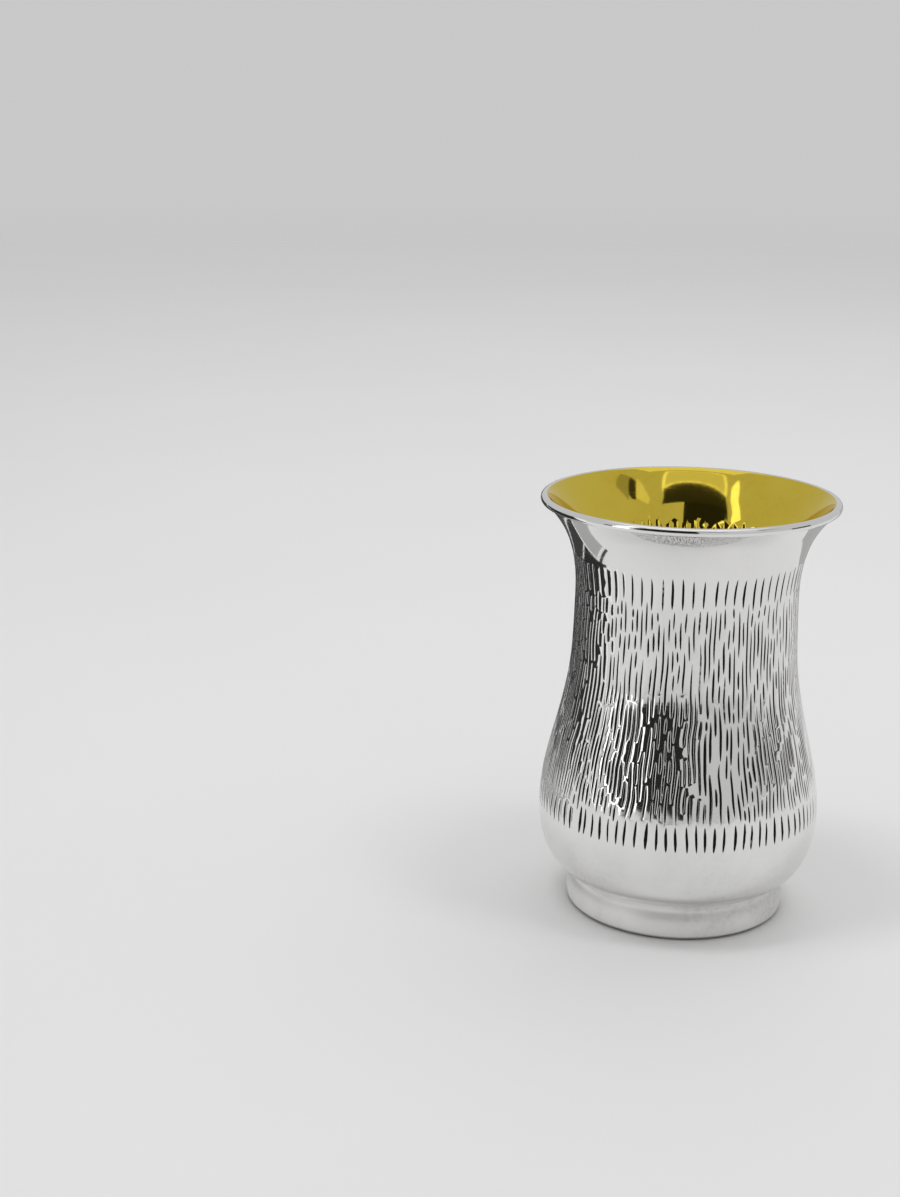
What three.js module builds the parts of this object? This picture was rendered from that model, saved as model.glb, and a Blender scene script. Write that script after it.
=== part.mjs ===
// Kiddush cup: a footed silver beaker with a full belly, a slim waist and a flared, wired rim.
// Units are millimetres, +Z is up, and the origin is the middle of the foot's underside.
// Two pieces make the cup: the spun bowl, and the spun ring soldered under it as its foot.

import * as THREE from 'three';
import { NURBSCurve } from 'three/addons/curves/NURBSCurve.js';

// ---- Driving dimensions -------------------------------------------------------------------

const cupHeight = 90;
const rimRadius = 31.15;
const bellyControlRadius = 30.5;
const bellyControlHeight = 18.2;
const waistControlRadius = 23.5;
const waistControlHeight = 64;
const bottomHeight = 4.6; // lowest point of the bowl, inside the foot

const bowlWall = 0.7;
const rimWireRadius = 0.9;
const rimWireStart = -0.3 * Math.PI; // where the wire leaves the wall's outside
const rimWireEnd = 1.02 * Math.PI; // where it meets the wall's inside

const footBulgeRadius = 23.4;
const footBulgeHeight = 2.5;
const footTopRadius = 22.3;
const footEdgeRadius = 22.8; // outer edge of the flat that the cup stands on
const footOpeningRadius = 20.6;
const footWall = 0.9;
const footInnerCorner = 0.3; // how far the hollow's lower corner is set in from the wall
const solderGap = 0.3; // left between the bowl and the foot

const segmentsRound = 64;
const wallSteps = 24; // steps along the bowl's wall, from its bottom to its rim
const rimWireSteps = 8;
const footWallSteps = 5;
const footInsideShare = 0.8; // of the foot's outside that its inner wall runs beside

// ---- Materials ----------------------------------------------------------------------------

const chasedSilver = new THREE.MeshStandardMaterial({
  color: '#cfccc4',
  roughness: 0.2,
  metalness: 1,
});
const polishedSilver = new THREE.MeshStandardMaterial({
  color: '#d8d6d0',
  roughness: 0.12,
  metalness: 1,
});

// ---- Outlines, as (radius, height) --------------------------------------------------------

// A smooth cubic curve that starts at the first control point and ends at the last.
function smoothOutline(controls) {
  const degree = 3;
  const spans = controls.length - degree;
  const knots = [];
  for (let i = 0; i < controls.length + degree + 1; i++) {
    knots.push(THREE.MathUtils.clamp(i - degree, 0, spans));
  }
  const points = controls.map(([radius, height]) => new THREE.Vector4(radius, height, 0, 1));
  return new NURBSCurve(degree, knots, points);
}

const rimWireCentre = new THREE.Vector2(rimRadius - rimWireRadius, cupHeight - rimWireRadius);

const bowlOutline = smoothOutline([
  [0, bottomHeight],
  [10, bottomHeight],
  [26, bottomHeight + 0.7],
  [bellyControlRadius, bellyControlHeight],
  [29.5, 30],
  [26.2, 41.7],
  [23.7, 53.4],
  [waistControlRadius, waistControlHeight],
  [23, 81.5],
  [rimWireCentre.x - 0.2, rimWireCentre.y - rimWireRadius],
]);

// The bowl's outside at t (0 at the bottom's middle, 1 under the rim wire), moved outwards.
function bowlOutside(t, outwards) {
  const point = bowlOutline.getPointAt(t);
  const along = bowlOutline.getTangentAt(t);
  return new THREE.Vector2(point.x + outwards * along.y, point.y - outwards * along.x);
}

const widerThanFoot = 0.3; // share of the bowl's outside from which it is wider than its foot
const halvings = 40;

// The bowl's lower side at a radius inside the foot, moved down by the solder gap.
function underBowl(radius) {
  let low = 0;
  let high = widerThanFoot;
  for (let step = 0; step < halvings; step++) {
    const middle = (low + high) / 2;
    if (bowlOutside(middle, solderGap).x < radius) {
      low = middle;
    } else {
      high = middle;
    }
  }
  return bowlOutside(low, solderGap);
}

// ---- Pieces -------------------------------------------------------------------------------

function latheMesh(name, profile, material) {
  const mesh = new THREE.Mesh(new THREE.LatheGeometry(profile, segmentsRound), material);
  mesh.name = name;
  mesh.rotation.x = Math.PI / 2; // a lathe turns about Y, and the cup stands along Z
  return mesh;
}

// The bowl: one wall of even thickness, with a round wire rolled into its rim.
function makeBowl() {
  const profile = [];
  for (let step = 0; step <= wallSteps; step++) {
    profile.push(bowlOutside(step / wallSteps, 0));
  }
  profile[0].x = 0;
  for (let step = 0; step <= rimWireSteps; step++) {
    const angle = THREE.MathUtils.lerp(rimWireStart, rimWireEnd, step / rimWireSteps);
    profile.push(new THREE.Vector2(
      rimWireCentre.x + rimWireRadius * Math.cos(angle),
      rimWireCentre.y + rimWireRadius * Math.sin(angle),
    ));
  }
  for (let step = wallSteps - 1; step >= 0; step--) {
    profile.push(bowlOutside(step / wallSteps, -bowlWall));
  }
  profile[profile.length - 1].x = 0;
  return latheMesh('cup_bowl', profile, chasedSilver);
}

// The foot: a rounded ring, turned in below to a flat rim and open underneath.
function makeFootRing() {
  const outside = new THREE.SplineCurve([
    new THREE.Vector2(footEdgeRadius, 0),
    new THREE.Vector2(footBulgeRadius - 0.1, 0.6),
    new THREE.Vector2(footBulgeRadius, footBulgeHeight),
    new THREE.Vector2(footBulgeRadius - 0.45, 2 * footBulgeHeight),
    new THREE.Vector2(footTopRadius, underBowl(footTopRadius).y),
  ]);
  const profile = [new THREE.Vector2(footOpeningRadius, 0)];
  profile.push(...outside.getPoints(footWallSteps * 2));
  profile.push(underBowl(footTopRadius - footWall));
  for (let step = 1; step < footWallSteps; step++) {
    const point = outside.getPoint(1 - step / footWallSteps * footInsideShare);
    profile.push(new THREE.Vector2(point.x - footWall, point.y));
  }
  profile.push(new THREE.Vector2(footBulgeRadius - footWall - footInnerCorner, footWall));
  profile.push(new THREE.Vector2(footOpeningRadius, footWall));
  profile.push(profile[0].clone());
  return latheMesh('foot_ring', profile, polishedSilver);
}

// ---- The cup ------------------------------------------------------------------------------

const cup = new THREE.Group();
cup.add(makeBowl());
cup.add(makeFootRing());

export default cup;
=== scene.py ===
"""The looks of a footed silver kiddush cup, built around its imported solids.

The bowl is drawn as one flat sheet, with its length along the cup's outline and its width round
the cup. Chased strokes are laid out on the sheet, stitched into it, and the sheet is then turned
on the outline like metal on a lathe. Outlines and the sheet are in millimetres until they are
turned, and everything that Blender holds is in metres.
"""

import math

import bpy
import numpy as np
from mathutils import Matrix, Vector
from mathutils.geometry import delaunay_2d_cdt
from mathutils.kdtree import KDTree


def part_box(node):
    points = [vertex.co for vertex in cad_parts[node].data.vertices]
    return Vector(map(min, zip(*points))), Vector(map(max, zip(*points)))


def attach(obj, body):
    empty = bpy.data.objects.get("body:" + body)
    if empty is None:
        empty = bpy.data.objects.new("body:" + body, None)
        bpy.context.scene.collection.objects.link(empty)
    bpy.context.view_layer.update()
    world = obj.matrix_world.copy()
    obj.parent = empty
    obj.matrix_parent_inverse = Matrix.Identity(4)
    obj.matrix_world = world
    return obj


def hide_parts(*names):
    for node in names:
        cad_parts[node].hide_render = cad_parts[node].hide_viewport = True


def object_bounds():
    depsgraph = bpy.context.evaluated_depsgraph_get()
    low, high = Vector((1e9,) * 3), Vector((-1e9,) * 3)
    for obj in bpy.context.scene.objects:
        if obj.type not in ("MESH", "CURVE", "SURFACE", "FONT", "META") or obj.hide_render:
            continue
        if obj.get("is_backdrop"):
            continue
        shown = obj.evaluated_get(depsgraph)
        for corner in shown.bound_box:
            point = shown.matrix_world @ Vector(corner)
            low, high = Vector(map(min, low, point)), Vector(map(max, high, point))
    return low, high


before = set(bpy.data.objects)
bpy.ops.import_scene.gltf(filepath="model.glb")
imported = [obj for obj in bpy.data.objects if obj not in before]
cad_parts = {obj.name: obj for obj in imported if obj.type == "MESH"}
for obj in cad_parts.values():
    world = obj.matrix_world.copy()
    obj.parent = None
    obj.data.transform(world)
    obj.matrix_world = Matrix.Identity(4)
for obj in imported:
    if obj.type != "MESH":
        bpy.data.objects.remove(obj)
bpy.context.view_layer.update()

MM = 0.001
FULL_TURN = 2 * math.pi

# ---- Sizes ----

bowl_low, bowl_high = (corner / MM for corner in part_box("cup_bowl"))
foot_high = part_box("foot_ring")[1] / MM

CUP_HEIGHT = bowl_high.z
RIM_RADIUS = bowl_high.x
BOTTOM_HEIGHT = bowl_low.z
FOOT_RADIUS = foot_high.x

BOWL_WALL = 0.7
WIRE_RADIUS = 0.9
WIRE_CENTRE = (RIM_RADIUS - WIRE_RADIUS, CUP_HEIGHT - WIRE_RADIUS)

# The bowl's outside from the middle of its bottom to the crease under the rim wire: the
# controls of a smooth curve, as (radius, height).
WALL_CONTROLS = [
    (0, BOTTOM_HEIGHT),
    (10, BOTTOM_HEIGHT),
    (26, BOTTOM_HEIGHT + 0.7),
    (30.5, 18.2),
    (29.5, 30),
    (26.2, 41.7),
    (23.7, 53.4),
    (23.5, 64),
    (23, 81.5),
    (WIRE_CENTRE[0] - 0.2, WIRE_CENTRE[1] - WIRE_RADIUS),
]

# The chased band, by height on the outside of the bowl.
BAND_BOTTOM = 22.3
BAND_TOP = 78.3
BAND_MARGIN = 2.2  # plain sheet kept above and below the strokes for stitching them in
RIDGE_SHIFT = 1.4  # of the strokes' backs, up the lining from the strokes

HEM_ANGLE = 137  # where the wire's round starts to run smoothly into the lining
HEM_DROP = 5  # from the wire's middle down to the plain lining
HEM_HANDLE = 1.5  # how far the hem keeps to the wire's way and to the lining's
GILDING_ANGLE = 118  # where the gilding starts on the rim wire, up and over from its outside
UNDER_FOOT_RADIUS = 24  # of the bottom that the foot hides, which has longer steps

SHEET_GIRTH = FULL_TURN * 26.5  # width of the flat sheet, a mean of the cup's girths
COLUMNS_ROUND = 144

# Between rows of faces.
BASE_STEP, WALL_STEP, CREASE_STEP, LINING_STEP, FOOT_STEP = 2.6, 0.8, 0.3, 1.3, 0.33
CREASE_REACH = 1.5  # of the short steps below the rim wire
POLE_RADIUS = 1.5  # of the lining's last row, round the middle of its floor

rng = np.random.default_rng(18)


# ---- Outlines ----

def smooth_curve(controls, count):
    """Points along the clamped uniform cubic B-spline of the controls."""
    controls = np.asarray(controls, float)
    spans = len(controls) - 3
    knots = np.clip(np.arange(len(controls) + 4) - 3.0, 0, spans)
    t = np.linspace(0, spans, count)
    basis = np.array([(a <= t) & (t < b) for a, b in zip(knots, knots[1:])], float)
    basis[len(controls) - 1, -1] = 1
    for degree in (1, 2, 3):
        wider = []
        for i in range(len(basis) - 1):
            rise = knots[i + degree] - knots[i] or 1
            fall = knots[i + degree + 1] - knots[i + 1] or 1
            up = (t - knots[i]) / rise * basis[i]
            wider.append(up + (knots[i + degree + 1] - t) / fall * basis[i + 1])
        basis = np.array(wider)
    return basis.T @ controls


def moved_out(points, distance):
    """The curve moved sideways, to its right as its points run."""
    along = np.gradient(points, axis=0)
    along /= np.linalg.norm(along, axis=1)[:, None]
    return points + distance * np.stack([along[:, 1], -along[:, 0]], 1)


def run_on(points, distance):
    """The place a distance straight on from the end of the curve."""
    way = points[-1] - points[-2]
    return points[-1] + distance * (way / np.linalg.norm(way))


def arc(centre, radius, start, end, count):
    """Points on an arc, with its angles in degrees."""
    angles = np.radians(np.linspace(start, end, count))
    return np.stack([centre[0] + radius * np.cos(angles), centre[1] + radius * np.sin(angles)], 1)


def step_lengths(points):
    return np.linalg.norm(np.diff(points, axis=0), axis=1)


class Outline:
    """A cup's outline as closely spaced points, measured by the length along it."""

    def __init__(self, *stretches):
        points = np.vstack(stretches)
        self.points = points[np.r_[True, step_lengths(points) > 1e-6]]
        self.lengths = np.r_[0, np.cumsum(step_lengths(self.points))]
        self.length = self.lengths[-1]

    def radius(self, along):
        return np.interp(along, self.lengths, self.points[:, 0])

    def curve(self, name):
        """The outline as a curve object in the XZ plane, for the turning tree."""
        data = bpy.data.curves.new(name, "CURVE")
        data.dimensions = "3D"
        spline = data.splines.new("POLY")
        spline.points.add(len(self.points) - 1)
        flat = np.zeros((len(self.points), 4))
        flat[:, 0], flat[:, 2], flat[:, 3] = self.points[:, 0] * MM, self.points[:, 1] * MM, 1
        spline.points.foreach_set("co", flat.ravel())
        return linked(name, data)


# ---- Objects and meshes ----

def linked(name, data):
    """A new object in the scene."""
    made = bpy.data.objects.new(name, data)
    bpy.context.scene.collection.objects.link(made)
    return made


def mesh_object(name, vertices, faces=()):
    """A mesh object in the scene, with these vertices, in metres, and faces."""
    mesh = bpy.data.meshes.new(name)
    mesh.from_pydata([tuple(v) for v in vertices], [], [tuple(f) for f in faces])
    return linked(name, mesh)


def set_attribute(mesh, name, values, kind="FLOAT", domain="POINT"):
    """Writes one number, or one vector, for each point or face."""
    values = np.asarray(values)
    layer = mesh.attributes.new(name, kind, domain)
    layer.data.foreach_set("vector" if kind == "FLOAT_VECTOR" else "value", values.ravel())


def read_attribute(mesh, name, size=1):
    """An attribute's values as an array, of numbers or of vectors of this size."""
    layer = mesh.attributes[name]
    values = np.zeros(len(layer.data) * size, np.float32)
    layer.data.foreach_get("vector" if size == 3 else "value", values)
    return values.reshape(-1, size).astype(float) if size > 1 else values.astype(float)


def drop_unused_slots(mesh):
    """Leaves a mesh with only the material slots that its faces use."""
    chosen = np.zeros(len(mesh.polygons), np.int32)
    mesh.polygons.foreach_get("material_index", chosen)
    used = np.unique(chosen)
    materials = [mesh.materials[number] for number in used]
    mesh.materials.clear()
    for material in materials:
        mesh.materials.append(material)
    mesh.polygons.foreach_set("material_index", np.searchsorted(used, chosen).astype(np.int32))


# ---- Node trees ----

class Field:
    """The output of a node, which sums can be written with."""

    def __init__(self, tree, socket):
        self.tree, self.socket = tree, socket

    def math(self, operation, *others):
        values = dict(enumerate((self, *others)))
        return field(self.tree, "ShaderNodeMath", values, operation=operation)

    def __add__(self, other):
        return self.math("ADD", other)

    def __sub__(self, other):
        return self.math("SUBTRACT", other)

    def __mul__(self, other):
        return self.math("MULTIPLY", other)

    def __truediv__(self, other):
        return self.math("DIVIDE", other)


def feed(tree, value, socket):
    """Links a field into a node's input, or sets the input to a plain value."""
    if isinstance(value, Field):
        tree.links.new(value.socket, socket)
    else:
        socket.default_value = value


def put(tree, kind, inputs=None, **settings):
    """Adds a node, with values or fields for its inputs, by their names or numbers."""
    node = tree.nodes.new(kind)
    for name, value in settings.items():
        setattr(node, name, value)
    for name, value in (inputs or {}).items():
        feed(tree, value, node.inputs[name])
    return node


def field(tree, kind, inputs=None, output=0, **settings):
    """Adds a node and returns one of its outputs."""
    return Field(tree, put(tree, kind, inputs, **settings).outputs[output])


def named(tree, attribute, kind="FLOAT"):
    return field(tree, "GeometryNodeInputNamedAttribute", {"Name": attribute}, "Attribute",
                 data_type=kind)


def vector(x, y, z):
    return field(x.tree, "ShaderNodeCombineXYZ", {0: x, 1: y, 2: z})


def parts(value):
    """A vector's X, Y and Z."""
    node = put(value.tree, "ShaderNodeSeparateXYZ", {0: value})
    return [Field(value.tree, socket) for socket in node.outputs]


def group_inputs(tree):
    """A node group's inputs, by name."""
    return {socket.name: Field(tree, socket) for socket in put(tree, "NodeGroupInput").outputs}


def geometry_tree(name, inputs):
    """An empty Geometry Nodes tree, with its Geometry and named inputs, and its output."""
    tree = bpy.data.node_groups.new(name, "GeometryNodeTree")
    tree.interface.new_socket("Geometry", in_out="INPUT", socket_type="NodeSocketGeometry")
    for label, kind in inputs.items():
        tree.interface.new_socket(label, in_out="INPUT", socket_type="NodeSocket" + kind)
    tree.interface.new_socket("Geometry", in_out="OUTPUT", socket_type="NodeSocketGeometry")
    return tree, group_inputs(tree), put(tree, "NodeGroupOutput").inputs[0]


def apply_tree(source, tree, values, name):
    """The plain mesh that the tree makes of the source object. The source is deleted."""
    modifier = source.modifiers.new(tree.name, "NODES")
    modifier.node_group = tree
    for item in tree.interface.items_tree:
        if item.item_type == "SOCKET" and item.in_out == "INPUT" and item.name in values:
            modifier[item.identifier] = values[item.name]
    depsgraph = bpy.context.evaluated_depsgraph_get()
    mesh = bpy.data.meshes.new_from_object(source.evaluated_get(depsgraph))
    mesh.name = name
    bpy.data.objects.remove(source)
    drop_unused_slots(mesh)
    return mesh


# ---- Chasing: the strokes' layout ----

NECK_WIDTH, BELLY_WIDTH = 0.38, 0.43
TOP_WIDTH, BOTTOM_WIDTH = 0.46, 0.58  # of the edge rows' strokes
WIDTH_SPREAD = (0.82, 1.15)
CUT_DEPTH = 0.3
RIDGE_HEIGHT = 0.2  # of the strokes' backs on the lining
FORCE_SPREAD = (0.8, 1.15)
SHOULDER = 0.3  # how far beside a cut the metal rolls down into it, where there is room
LEAST_SHOULDER = 0.13
SHOULDER_GAP = 0.04  # from a shoulder's edge to the middle of the bare metal
END_GAP = 0.3  # bare metal left between one stroke's end and the next one's
SHORTEST = 2.0  # of the strokes that fill in bare metal
SHORTEST_SETTLED, SHORTEST_KEPT = 1.6, 1.4  # before the others grow, and at last
DRIFT_ROOM = 0.17  # kept beside a stroke, as neighbours don't wander quite alike
CROWDING_GAP = 0.2  # end to end, from which neighbours can't crowd each other sideways
WORN_SHARE = 0.05  # of the strokes, worn bright at the bottom
WORN_SPREAD = (0.5, 1)
INTERLOCK = 0.9  # how far the field's strokes reach in between an edge row's

TOP_ROW = {"spacing": 2.15, "length": 6.5, "spread": 0.7, "ragged": 0.5}
BOTTOM_ROW = {"spacing": 2.05, "length": 5.8, "spread": 0.5, "ragged": 0.15}
EDGE_SPREAD = 0.1  # of an edge row's spacing
NECK_SPACING, BELLY_SPACING = 2.7, 2.15  # between neighbours in one row
SPACING_SPREAD = 0.13
NECK_PITCH, BELLY_PITCH = 2.9, 2.5  # between rows, which are staggered
PITCH_SPREAD = 1.1
LAST_ROW = 0.3  # least height of the last row above the field's floor, in belly lengths
NECK_LENGTH, BELLY_LENGTH = 5.6, 5.2
LENGTH_SPREAD = (0.7, 1.4)
NECK_SWAY = 0.6  # how far the neck's strokes wander, as a share of the belly's
LONG = 6.5  # from here up a stroke is struck with the longer, more supple punch

# Settling: the strokes shift little by little until they leave each other room.
SETTLING_ROUNDS, GROWING_ROUNDS = 40, 30
NEAR_ALONG, NEAR_TURN = 20, 0.06  # within which two strokes are neighbours
OVERLAP = 1.3  # neighbours that overlap by less than this make room end to end
IN_LINE = 0.3  # and so do neighbours that are less than this far apart sideways
SIDE_STEP, MOST_SIDE_STEP, END_STEP = 0.3, 0.25, 0.4
EDGE_SIDE_STEP = 0.2  # of an edge row's strokes, as a share of the others'

# Merging: strokes that stand end to end run on into each other, most of them on the belly.
MERGING = 0.9
MERGING_RISE, MERGING_DELAY = 1.6, 0.2  # of the share that merges, down the band
MERGING_SIDE, MERGING_GAP, MERGING_OVERLAP = 0.55, 1.6, 0.6
MERGED_SPREAD = (0.85, 1)

FILL_TRIES = 4000
FILL_CLEARANCE = 0.47
FILL_WIDTH_SPREAD = (0.82, 1.1)
FILL_LENGTHS = (3, 8)


class Strokes:
    """Upright strokes on the sheet: their turn round the cup, place along it and half length."""

    PER_STROKE = ("turn", "along", "half_length", "fixed", "wanted", "ceiling", "floor", "width")

    def __init__(self, outline, start, end):
        self.outline, self.start, self.end = outline, start, end
        edges = [self.edge_row(TOP_ROW, end, -1), self.edge_row(BOTTOM_ROW, start, 1)]
        ceiling = end - TOP_ROW["length"] + INTERLOCK
        floor = start + BOTTOM_ROW["length"] - INTERLOCK
        rows = []
        along = ceiling - NECK_LENGTH / 2
        while along > floor + BELLY_LENGTH * LAST_ROW:
            rows.append(self.field_row(along, len(rows)))
            along -= self.blend(NECK_PITCH, BELLY_PITCH, along)
        columns = zip(*edges, *rows)
        self.turn, self.along, self.half_length = (np.concatenate(column) for column in columns)
        self.fixed = np.arange(len(self.turn)) < len(edges[0][0]) + len(edges[1][0])
        self.wanted = self.half_length.copy()
        self.ceiling = np.where(self.fixed, end, ceiling)
        self.floor = np.where(self.fixed, start, floor)
        self.width = self.draw_widths()
        self.find_pairs()
        self.settle(0, SETTLING_ROUNDS)
        self.keep(2 * self.half_length > SHORTEST_SETTLED)
        for _ in range(2):
            self.merge()
            self.settle(1, GROWING_ROUNDS)
        self.thin_out()
        self.fill_in(floor, ceiling)
        count = len(self.turn)
        self.room = self.shoulders()
        self.force = rng.uniform(*FORCE_SPREAD, count)
        worn = rng.random(count) < WORN_SHARE
        self.tone = np.where(worn, rng.uniform(*WORN_SPREAD, count), 0)

    def belly(self, along):
        """How far down the band a place is, from 0 at its top to 1 at its bottom."""
        return (self.end - along) / (self.end - self.start)

    def blend(self, neck, belly, along):
        """A measure that changes evenly down the band."""
        return neck + (belly - neck) * self.belly(along)

    def edge_row(self, row, edge, inwards):
        """A row whose outer ends line up along the band's edge."""
        count = round(FULL_TURN * self.outline.radius(edge) / row["spacing"])
        place = np.arange(count) + rng.uniform(-EDGE_SPREAD, EDGE_SPREAD, count)
        half = (row["length"] + rng.uniform(-1, 1, count) * row["spread"]) / 2
        along = edge + inwards * (half + rng.random(count) ** 2 * row["ragged"])
        return place / count * FULL_TURN, along, half

    def field_row(self, along, number):
        """A row inside the band, half a space round from the one above it."""
        spacing = self.blend(NECK_SPACING, BELLY_SPACING, along)
        count = round(FULL_TURN * self.outline.radius(along) / spacing)
        spread = rng.uniform(-SPACING_SPREAD, SPACING_SPREAD, count)
        place = np.arange(count) + number % 2 / 2 + spread
        mean = self.blend(NECK_LENGTH, BELLY_LENGTH, along)
        half = mean * rng.uniform(*LENGTH_SPREAD, count) / 2
        shifted = along + rng.uniform(-PITCH_SPREAD, PITCH_SPREAD, count)
        return place / count * FULL_TURN, shifted, half

    def draw_widths(self):
        width = self.blend(NECK_WIDTH, BELLY_WIDTH, self.along)
        low = self.along < (self.start + self.end) / 2
        width[self.fixed] = np.where(low, BOTTOM_WIDTH, TOP_WIDTH)[self.fixed]
        return width * rng.uniform(*WIDTH_SPREAD, len(width))

    def keep(self, chosen):
        for name in self.PER_STROKE:
            setattr(self, name, getattr(self, name)[chosen])
        self.find_pairs()

    def find_pairs(self):
        """Every stroke with each of its neighbours, as two lists of numbers."""
        near = np.abs(self.along[None] - self.along[:, None]) < NEAR_ALONG
        near &= np.abs(np.sin((self.turn[None] - self.turn[:, None]) / 2)) < NEAR_TURN
        np.fill_diagonal(near, False)
        self.one, self.other = np.nonzero(near)

    def gaps(self):
        """For every pair: the way sideways to the other, the bare length between, the width."""
        one, other = self.one, self.other
        turn = (self.turn[other] - self.turn[one] + math.pi) % FULL_TURN - math.pi
        sideways = turn * self.outline.radius((self.along[one] + self.along[other]) / 2)
        ends = np.abs(self.along[other] - self.along[one])
        ends = ends - self.half_length[one] - self.half_length[other]
        return sideways, ends, (self.width[one] + self.width[other]) / 2

    def settle(self, growth, rounds):
        """Moves strokes apart sideways, and shortens or lengthens them end to end."""
        one, other = self.one, self.other
        for _ in range(rounds):
            sideways, ends, widths = self.gaps()
            short = widths + 2 * SHOULDER - np.abs(sideways)
            end_on = (ends > -OVERLAP) | (np.abs(sideways) < IN_LINE)
            push = -np.sign(sideways) * short * SIDE_STEP
            moved = np.zeros(len(self.turn))
            np.add.at(moved, one, np.where((short > 0) & ~end_on, push, 0))
            moved[self.fixed] *= EDGE_SIDE_STEP
            moved = np.clip(moved, -MOST_SIDE_STEP, MOST_SIDE_STEP)
            self.turn += moved / self.outline.radius(self.along)

            top, bottom = self.along + self.half_length, self.along - self.half_length
            room_up, room_down = self.ceiling - top, bottom - self.floor
            touching = (short > 0) & end_on
            above = touching & (self.along[other] > self.along[one])
            below = touching & ~above
            np.minimum.at(room_up, one[above], ends[above] - END_GAP)
            np.minimum.at(room_down, one[below], ends[below] - END_GAP)
            most = growth * np.maximum(self.wanted - self.half_length, 0)
            up = np.minimum(room_up * END_STEP, most)
            down = np.minimum(room_down * END_STEP, most)
            up[self.fixed], down[self.fixed] = 0, 0
            self.half_length += (up + down) / 2
            self.along += (up - down) / 2

    def merge(self):
        """Runs some strokes that stand end to end together."""
        sideways, ends, _ = self.gaps()
        upper = self.along[self.other] > self.along[self.one]
        near = upper & (np.abs(sideways) < MERGING_SIDE)
        near &= (ends < MERGING_GAP) & (ends > -MERGING_OVERLAP)
        used, gone = self.fixed.copy(), np.zeros(len(self.turn), bool)
        for pair in rng.permutation(np.flatnonzero(near)):
            low, high = self.one[pair], self.other[pair]
            share = MERGING_RISE * self.belly(self.along[low]) - MERGING_DELAY
            if used[low] or used[high] or rng.random() > MERGING * min(1, share):
                continue
            bottom = self.along[low] - self.half_length[low]
            top = self.along[high] + self.half_length[high]
            self.turn[low] += sideways[pair] / self.outline.radius(self.along[low]) / 2
            self.along[low], self.half_length[low] = (top + bottom) / 2, (top - bottom) / 2
            self.wanted[low] = self.half_length[low] * rng.uniform(*MERGED_SPREAD)
            used[[low, high]], gone[high] = True, True
        self.keep(~gone)

    def crowded(self):
        """How many neighbours crowd each stroke."""
        sideways, ends, widths = self.gaps()
        least = widths + 2 * LEAST_SHOULDER + DRIFT_ROOM
        crowd = np.zeros(len(self.turn))
        np.add.at(crowd, self.one, (np.abs(sideways) < least) & (ends < CROWDING_GAP))
        crowd[self.fixed] = np.minimum(crowd[self.fixed], 0.5)  # so that none of them goes
        return crowd

    def thin_out(self):
        """Drops the fewest strokes that still crowd a neighbour."""
        crowd = self.crowded()
        while crowd.max() >= 1:
            self.keep(np.arange(len(crowd)) != crowd.argmax())
            crowd = self.crowded()
        self.keep(2 * self.half_length > SHORTEST_KEPT)

    def fill_in(self, floor, ceiling):
        """Adds strokes wherever enough metal is still bare between the others."""
        for _ in range(FILL_TRIES):
            turn, along = rng.uniform(0, FULL_TURN), rng.uniform(floor, ceiling)
            width = self.blend(NECK_WIDTH, BELLY_WIDTH, along) * rng.uniform(*FILL_WIDTH_SPREAD)
            away = (self.turn - turn + math.pi) % FULL_TURN - math.pi
            beside = np.abs(away) * self.outline.radius(along)
            column = beside < (self.width + width) / 2 + FILL_CLEARANCE
            tops = (self.along + self.half_length)[column]
            bottoms = (self.along - self.half_length)[column]
            high = min([ceiling, *(bottoms[bottoms > along] - END_GAP)])
            low = max([floor, *(tops[tops < along] + END_GAP)])
            if ((tops >= along) & (bottoms <= along)).any() or high - low < SHORTEST:
                continue
            half = min(high - low, rng.uniform(*FILL_LENGTHS)) / 2
            along = min(max(along, low + half), high - half)
            added = (turn, along, half, False, half, ceiling, floor, width)
            for name, value in zip(self.PER_STROKE, added):
                setattr(self, name, np.append(getattr(self, name), value))
        self.find_pairs()

    def shoulders(self):
        """How wide each stroke's shoulder can be without reaching a neighbour's."""
        sideways, ends, widths = self.gaps()
        between = np.hypot(np.maximum(np.abs(sideways) - widths, 0), np.maximum(ends, 0))
        room = np.full(len(self.turn), SHOULDER)
        np.minimum.at(room, self.one, between / 2 - SHOULDER_GAP)
        return np.clip(room, LEAST_SHOULDER, SHOULDER)


# ---- Chasing: the punches, and the tree that strikes them ----

PUNCH_ATTRIBUTES = ("across", "along", "beside", "beyond", "sink", "lean_x", "lean_z", "soot")

# The liner's cut from its shoulder's edge inwards: how far out in shoulder widths, share of
# the depth, slope and soot.
CUT_RINGS = ((1, 0, 0.18, 0), (0.45, 0.07, 0.25, 0), (0, 0.3, 0.65, 0.62))
CUT_END_REACH, CUT_END_LEAN = 0.5, 0.2  # at its ends, as shares of those at its sides
KEEL_RISE = 0.3  # of the cut's bottom towards its ends
BLACKENED = 0.2  # share of the depth from which a cut is black
RIDGE_REACH = 0.6
RIDGE_SLOPE, RIDGE_END_SLOPE = 0.35, 1.3


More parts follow.
